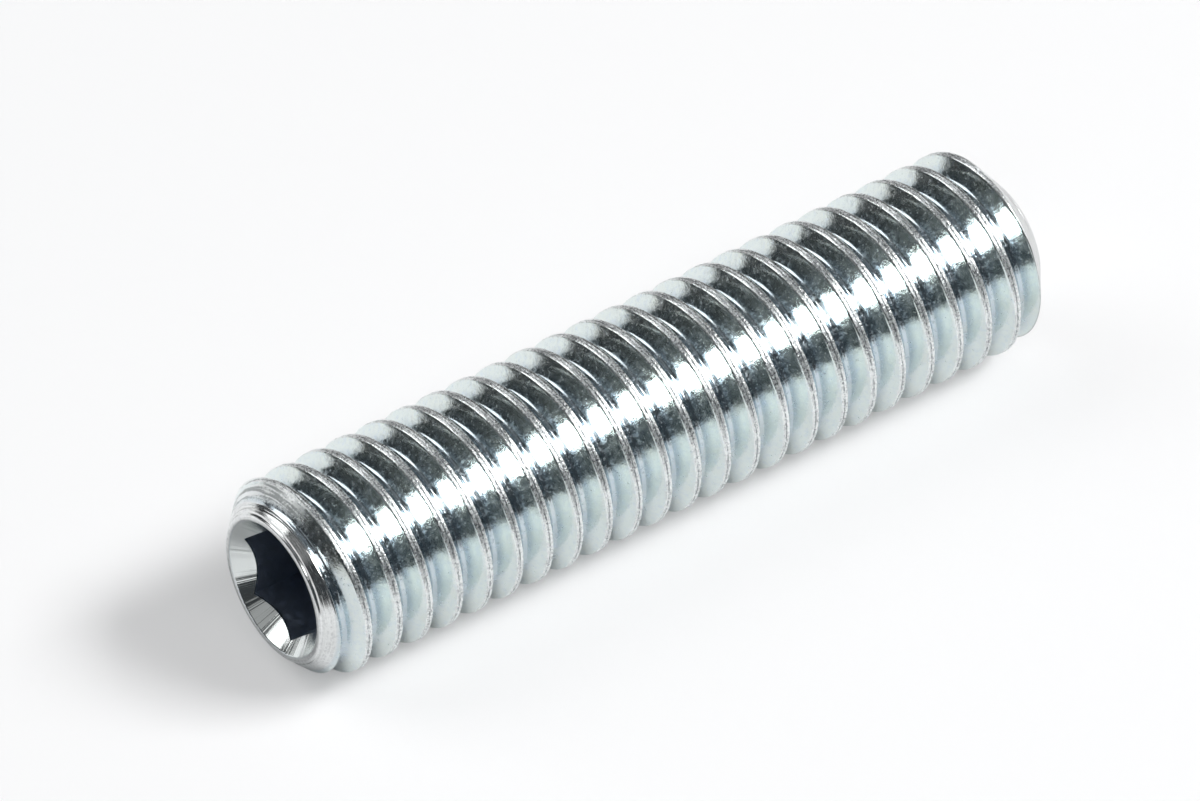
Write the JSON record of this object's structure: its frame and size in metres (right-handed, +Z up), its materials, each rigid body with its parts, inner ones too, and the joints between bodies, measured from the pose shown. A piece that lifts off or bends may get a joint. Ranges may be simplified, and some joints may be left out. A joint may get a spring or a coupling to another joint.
{
  "type": "socket set screw",
  "caption": "Headless steel set screw with a full-length right-hand thread, a countersunk hexagon socket at one end and a chamfered flat point at the other.",
  "frame": {"origin": "centre of the flat point face, on the screw's axis", "axes": "+X along the screw's axis from the socket end to the point, +Z up with the screw lying on its side, +Y to the left when looking along +X"},
  "size_m": [0.0247, 0.0058, 0.0058],
  "materials": {
    "zinc_plated_steel": "bright zinc plate with a faint blue and yellow tint"
  },
  "bodies": {
    "root": {"set_screw": "zinc_plated_steel"}
  },
  "joints": []
}
